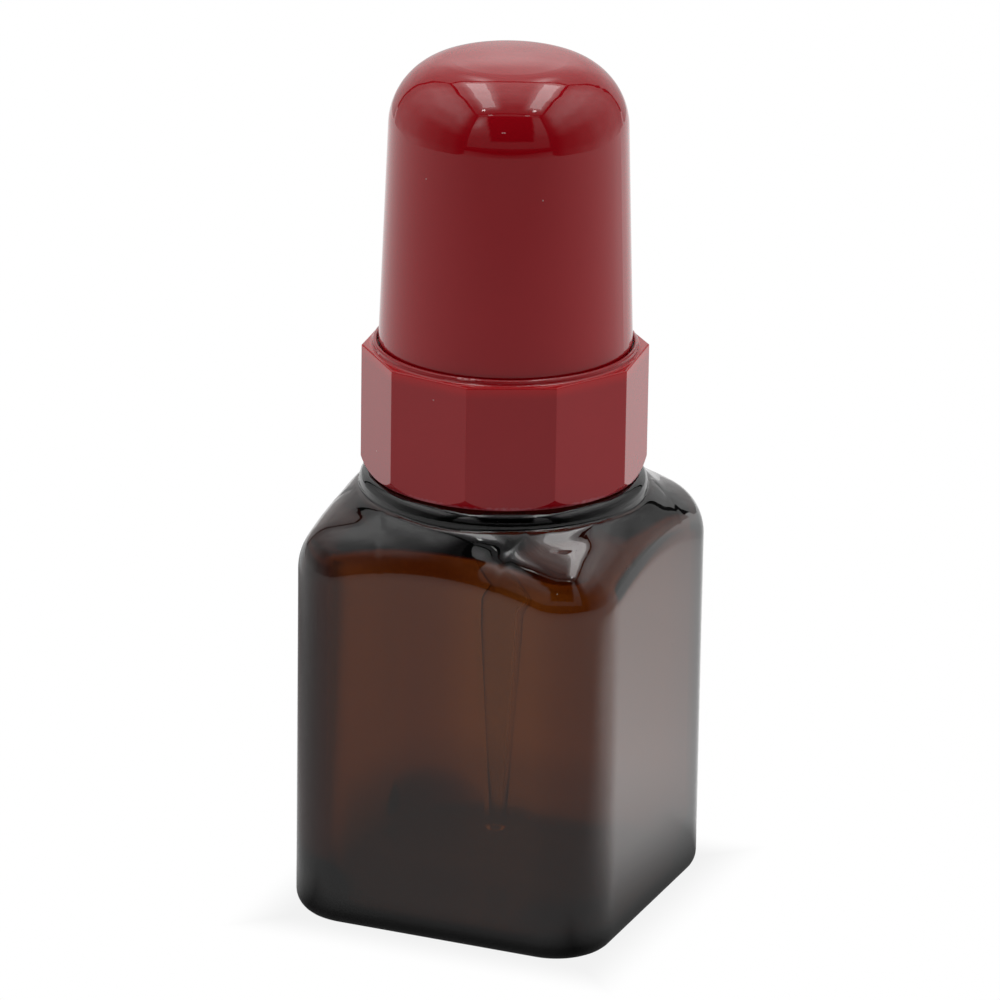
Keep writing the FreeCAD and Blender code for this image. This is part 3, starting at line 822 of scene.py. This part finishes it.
def make_wall(name, corner, along, up, glow, cloth):
    """One glowing tent wall: corner, along and up are in the tent's own directions."""
    columns = max(1, round(along.length / TENT_CELL))
    rows = max(1, round(up.length / TENT_CELL))
    vertices = []
    values = []
    for row in range(rows + 1):
        for column in range(columns + 1):
            place = corner + along * (column / columns) + up * (row / rows)
            vertices.append(turned(*place))
            values.append(glow(*place))
    faces = []
    for row in range(rows):
        for column in range(columns):
            start = row * (columns + 1) + column
            faces.append((start, start + 1, start + columns + 2, start + columns + 1))
    mesh = bpy.data.meshes.new(name)
    mesh.from_pydata(vertices, [], faces)
    brightness = mesh.attributes.new("glow", "FLOAT", "POINT")
    brightness.data.foreach_set("value", values)
    wall = add_object(name, mesh)
    paint(wall, cloth)
    wall.visible_camera = False


def bell(offset, width):
    """1 where the offset is 0, falling away smoothly over about the width."""
    return math.exp(-(offset / width) ** 2)


def top_glow(x, y, z):
    """The brightness at a place on the tent's roof; the other walls have a function like it each."""
    glow = ramp(y, *ROOF_STOPS)
    for low, high in STRIPS:
        beside = max(low - x, x - high, 0.0)
        beyond = max(STRIP_START - y, y - STRIP_END, 0.0)
        glow += STRIP_HALO * bell(beside, STRIP_HALO_WIDTH) * bell(beyond, STRIP_HALO_LENGTH)
    return glow


def flap_glow(x, y, z):
    return FLAP_GLOW


def back_glow(x, y, z):
    plain = ramp(z, *BACK_STOPS) * ramp(abs(x), *BACK_SIDE_STOPS)
    patch = BACK_PATCH * bell(x, BACK_PATCH_WIDTH) * bell(z - BACK_PATCH_HEIGHT, BACK_PATCH_RISE)
    columns = sum(bell(x - column, BACK_COLUMN_WIDTH) for column in BACK_COLUMNS)
    return plain + patch + BACK_COLUMN_GLOW * columns * ramp(z, *BACK_COLUMN_STOPS)


def side_glow(x, y, z):
    low = ramp(y, *LOW_SIDE_STOPS)
    high = ramp(y, *HIGH_SIDE_STOPS)
    return low * ramp(z, *SIDE_FOOT_STOPS) + (high - low) * ramp(z, *SIDE_RISE_STOPS)


def front_glow(x, y, z):
    """Cloth with a dark opening, which is wider at the top, and a bright patch on its left."""
    beside = max(ramp(z, *OPENING_LEFT_STOPS) - x, x - ramp(z, *OPENING_RIGHT_STOPS))
    cloth = ramp(max(beside, OPENING_FOOT - z), *OPENING_EDGE_STOPS)
    patch_x, patch_z = FRONT_PATCH_PLACE
    width, height = FRONT_PATCH_SIZE
    patch = FRONT_PATCH * bell(x - patch_x, width) * bell(z - patch_z, height)
    return (ramp(z, *FRONT_STOPS) + patch) * cloth


def add_panel(name, place, width, height, luminance, aim=None, through_glass=False):
    """A flat light with an even luminance, facing down or towards aim; matt surfaces don't see it."""
    light = bpy.data.lights.new(name, "AREA")
    light.shape = "RECTANGLE"
    light.size = width
    light.size_y = height
    light.energy = luminance * width * height * math.pi
    panel = add_object(name, light)
    panel.location = turned(*place)
    panel.rotation_euler = (0, 0, CAMERA_AZIMUTH)
    if aim is not None:
        panel.rotation_euler = (turned(*aim) - panel.location).to_track_quat("-Z", "Y").to_euler()
    panel.visible_camera = False
    panel.visible_diffuse = False
    panel.visible_transmission = through_glass


def make_tent_walls():
    seam = TENT_SEAM
    left = -TENT_HALF_WIDTH
    across = Vector((2 * (TENT_HALF_WIDTH - seam), 0, 0))
    away = Vector((0, TENT_BACK - TENT_FRONT - 2 * seam, 0))
    roof = Vector((0, TENT_BACK - seam - ROOF_START, 0))
    flap = Vector((0, FLAP_LENGTH, 0))
    up = Vector((0, 0, TENT_TOP - 2 * seam))
    front_up = Vector((0, 0, TENT_TOP - seam - FRONT_WALL_FOOT))
    roof_corner = Vector((left + seam, ROOF_START, TENT_TOP))
    flap_corner = Vector((left + seam, TENT_FRONT, TENT_TOP))
    back_corner = Vector((left + seam, TENT_BACK, seam))
    front_corner = Vector((left + seam, TENT_FRONT, FRONT_WALL_FOOT))
    left_corner = Vector((left, TENT_FRONT + seam, seam))
    right_corner = Vector((-left, TENT_FRONT + seam, seam))
    top_cloth = tent_cloth("tent_top", TOP_DIFFUSE_SHARE)
    side_cloth = tent_cloth("tent_side", 1.0)
    make_wall("tent_top", roof_corner, across, roof, top_glow, top_cloth)
    make_wall("tent_flap", flap_corner, across, flap, flap_glow, top_cloth)
    make_wall("tent_back", back_corner, across, up, back_glow, side_cloth)
    make_wall("tent_front", front_corner, across, front_up, front_glow, side_cloth)
    make_wall("tent_left", left_corner, away, up, side_glow, side_cloth)
    make_wall("tent_right", right_corner, away, up, side_glow, side_cloth)


def make_tent_lights():
    """The two long strips, and the small lights that make glints on the cap."""
    length = STRIP_END - STRIP_START
    for number, (low, high) in enumerate(STRIPS):
        middle = ((low + high) / 2, (STRIP_START + STRIP_END) / 2, TENT_TOP - STRIP_GAP)
        add_panel(f"strip_{number}", middle, high - low, length, STRIP_LUMINANCE, through_glass=True)
    spot_height = TENT_TOP - 2 * STRIP_GAP
    for side in (-1, 1):
        tip = (side * STRIP_TIP_PLACE[0], STRIP_TIP_PLACE[1], spot_height)
        add_panel(f"strip_tip_{side}", tip, STRIP_TIP_SIZE, STRIP_TIP_SIZE, STRIP_TIP_LUMINANCE)
        spot = (side * FLAP_SPOT_PLACE[0], FLAP_SPOT_PLACE[1], spot_height)
        add_panel(f"flap_spot_{side}", spot, *FLAP_SPOT_SIZE, FLAP_SPOT_LUMINANCE)
    glint = (LENS_GLINT_PLACE[0], TENT_FRONT + STRIP_GAP, LENS_GLINT_PLACE[1])
    add_panel("lens_glint", glint, *LENS_GLINT_SIZE, LENS_GLINT_LUMINANCE, LENS_GLINT_AIM)


def make_room():
    """A world that is white to the camera and nearly dark to all other rays."""
    world = bpy.data.worlds.new("room")
    bpy.context.scene.world = world
    world.use_nodes = True
    nodes = Nodes(world.node_tree)
    camera_ray = nodes.add("LightPath").outputs["Is Camera Ray"]
    dark = nodes.add("Background", {"Color": ROOM_COLOUR})
    white = nodes.add("Background", {"Color": (1, 1, 1, 1)})
    nodes.add("OutputWorld", {"Surface": nodes.mix_shader(camera_ray, dark.outputs[0], white.outputs[0])})


make_bottle()
paint(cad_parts["screw_collar"], red_plastic("red_collar", collar=True))
paint(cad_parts["overcap"], red_plastic("red_overcap"))
paint(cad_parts["rubber_bulb"], black_rubber())
paint(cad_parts["pipette"], clear_glass())
make_camera()
make_floor()
make_tent_walls()
make_tent_lights()
make_room()
bpy.context.scene.view_settings.view_transform = "Standard"
